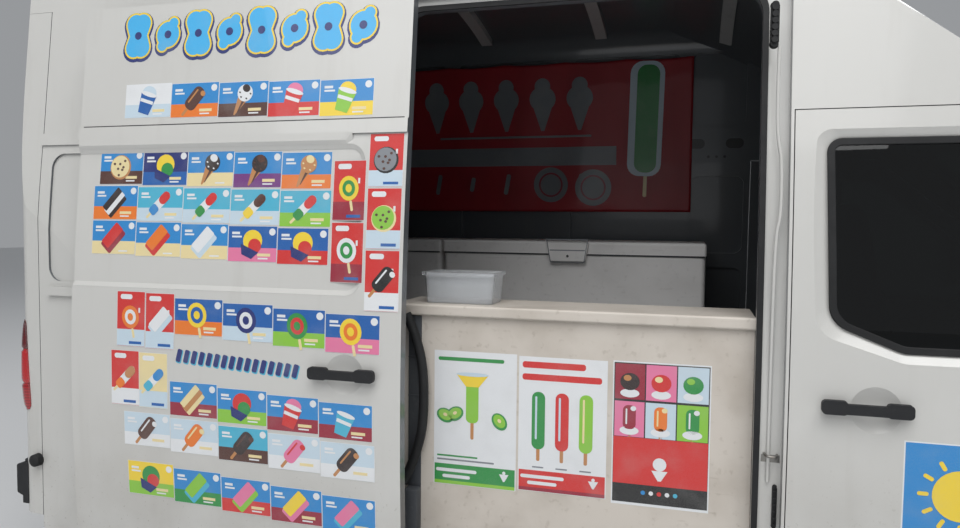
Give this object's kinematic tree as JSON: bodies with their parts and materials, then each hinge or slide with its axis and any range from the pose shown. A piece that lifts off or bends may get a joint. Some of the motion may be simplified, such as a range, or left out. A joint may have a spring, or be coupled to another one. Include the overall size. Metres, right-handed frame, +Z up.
{
  "type": "ice cream truck",
  "caption": "High-roof panel van fitted out as an ice cream truck, side door slid open on a serving counter, with chest freezers inside.",
  "frame": {"origin": "on the ground under the centre of the bounding box", "axes": "+X towards the nose, +Y to the driver's side, +Z up"},
  "size_m": [5.35, 2.42, 2.79],
  "materials": {
    "body_white": "gloss white paint with road dust",
    "inner_white": "satin white paint, unlined",
    "chassis_black": "dull black underseal",
    "black_plastic": "grained, slightly faded",
    "dark_trim": "grained cab trim",
    "glass": "lightly tinted",
    "rubber_black": "matt",
    "tyre_rubber": "road-worn",
    "wheel_silver": "silver steel wheel",
    "steel": "bare steel with surface rust",
    "cast_metal": "cast, oily",
    "lamp_clear": "clear cover",
    "reflector": "bright plated bowls in a grey housing",
    "lamp_red": "red lens",
    "freezer_white": "enamelled, slightly yellowed",
    "counter_board": "off-white laminate, grimy at the edge",
    "clear_plastic": "clear storage box",
    "banner_red": "printed vinyl",
    "seat_cloth": "dark woven cloth"
  },
  "bodies": {
    "body": {"front_wings": "body_white", "headlamps": "lamp_clear", "headlamp_bowls": "reflector", "wipers": "black_plastic", "rear_corners": "body_white", "tail_lamps": "lamp_red", "left_side_panel": "body_white", "right_side_panel": "body_white", "sliding_door": "body_white", "sliding_door_track": "steel", "sliding_door_handle": "black_plastic", "side_door_seal": "rubber_black", "high_roof": "body_white", "roof_bows": "inner_white", "cab_frame": "body_white", "grille": "black_plastic", "front_bumper": "black_plastic", "rear_bumper": "black_plastic", "windscreen": "glass", "floor": "inner_white", "chassis_frame": "chassis_black", "arch_liners": "black_plastic", "rear_axle": "chassis_black", "front_suspension": "chassis_black", "engine_and_driveline": "cast_metal", "exhaust": "steel", "fuel_tank": "black_plastic", "radiator": "cast_metal", "dashboard": "dark_trim", "driver_seat": "seat_cloth", "passenger_seat": "seat_cloth", "freezer": "freezer_white", "rear_freezer": "freezer_white", "serving_counter": "counter_board", "tip_box": "clear_plastic", "banner": "banner_red"},
    "front_door_left": {"front_door_left": "body_white", "front_door_glass_left": "glass", "mirror_and_handle_left": "black_plastic"},
    "front_door_right": {"front_door_right": "body_white", "front_door_glass_right": "glass", "mirror_and_handle_right": "black_plastic"},
    "rear_door_left": {"rear_door_left": "body_white", "rear_door_glass_left": "glass"},
    "rear_door_right": {"rear_door_right": "body_white", "rear_door_glass_right": "glass"},
    "bonnet": {"bonnet": "body_white"},
    "knuckle_left": {"knuckle_left": "cast_metal"},
    "knuckle_right": {"knuckle_right": "cast_metal"},
    "wheel_front_left": {"rim_front_left": "wheel_silver", "tyre_front_left": "tyre_rubber"},
    "wheel_front_right": {"rim_front_right": "wheel_silver", "tyre_front_right": "tyre_rubber"},
    "wheel_rear_left": {"rim_rear_left": "wheel_silver", "tyre_rear_left": "tyre_rubber"},
    "wheel_rear_right": {"rim_rear_right": "wheel_silver", "tyre_rear_right": "tyre_rubber"},
    "steering_wheel": {"steering_wheel": "dark_trim"},
    "freezer_lid": {"freezer_lid": "freezer_white"},
    "rear_freezer_lid": {"rear_freezer_lid": "freezer_white"}
  },
  "joints": [
    {"name": "front_door_left_swing", "type": "hinge", "parent": "body", "child": "front_door_left", "pos_m": [1.495, 1.001, 0.9], "axis": [0, 0, -1], "range_deg": [0, 70]},
    {"name": "front_door_right_swing", "type": "hinge", "parent": "body", "child": "front_door_right", "pos_m": [1.495, -1.001, 0.9], "axis": [0, 0, 1], "range_deg": [0, 70]},
    {"name": "rear_door_left_swing", "type": "hinge", "parent": "body", "child": "rear_door_left", "pos_m": [-2.642, 0.783, 1.4], "axis": [0, 0, -1], "range_deg": [0, 180]},
    {"name": "rear_door_right_swing", "type": "hinge", "parent": "body", "child": "rear_door_right", "pos_m": [-2.642, -0.783, 1.4], "axis": [0, 0, 1], "range_deg": [0, 180]},
    {"name": "bonnet_lift", "type": "hinge", "parent": "body", "child": "bonnet", "pos_m": [1.985, 0, 1.312], "axis": [0, -1, 0], "range_deg": [0, 50]},
    {"name": "steer_left", "type": "hinge", "parent": "body", "child": "knuckle_left", "pos_m": [1.675, 0.685, 0.387], "axis": [0, 0, 1], "range_deg": [-33, 33]},
    {"name": "steer_right", "type": "hinge", "parent": "body", "child": "knuckle_right", "pos_m": [1.675, -0.685, 0.387], "axis": [0, 0, 1], "range_deg": [-33, 33]},
    {"name": "wheel_front_left_spin", "type": "hinge", "parent": "knuckle_left", "child": "wheel_front_left", "pos_m": [1.675, 0.855, 0.387], "axis": [0, 1, 0], "continuous": true},
    {"name": "wheel_front_right_spin", "type": "hinge", "parent": "knuckle_right", "child": "wheel_front_right", "pos_m": [1.675, -0.855, 0.387], "axis": [0, 1, 0], "continuous": true},
    {"name": "wheel_rear_left_spin", "type": "hinge", "parent": "body", "child": "wheel_rear_left", "pos_m": [-1.625, 0.855, 0.387], "axis": [0, 1, 0], "continuous": true},
    {"name": "wheel_rear_right_spin", "type": "hinge", "parent": "body", "child": "wheel_rear_right", "pos_m": [-1.625, -0.855, 0.387], "axis": [0, 1, 0], "continuous": true},
    {"name": "steering_wheel_turn", "type": "hinge", "parent": "body", "child": "steering_wheel", "pos_m": [1.345, 0.48, 1.33], "axis": [-0.6691, 0, 0.7431], "range_deg": [-495, 495]},
    {"name": "freezer_lid_lift", "type": "hinge", "parent": "body", "child": "freezer_lid", "pos_m": [-0.523, 0.82, 1.485], "axis": [-1, 0, 0], "range_deg": [0, 75]},
    {"name": "rear_freezer_lid_lift", "type": "hinge", "parent": "body", "child": "rear_freezer_lid", "pos_m": [-1.448, 0.68, 1.485], "axis": [-1, 0, 0], "range_deg": [0, 75]}
  ],
  "couplings": [
    {"joint": "steer_right", "follows": "steer_left", "ratio": 1},
    {"joint": "steering_wheel_turn", "follows": "steer_left", "ratio": 15}
  ]
}
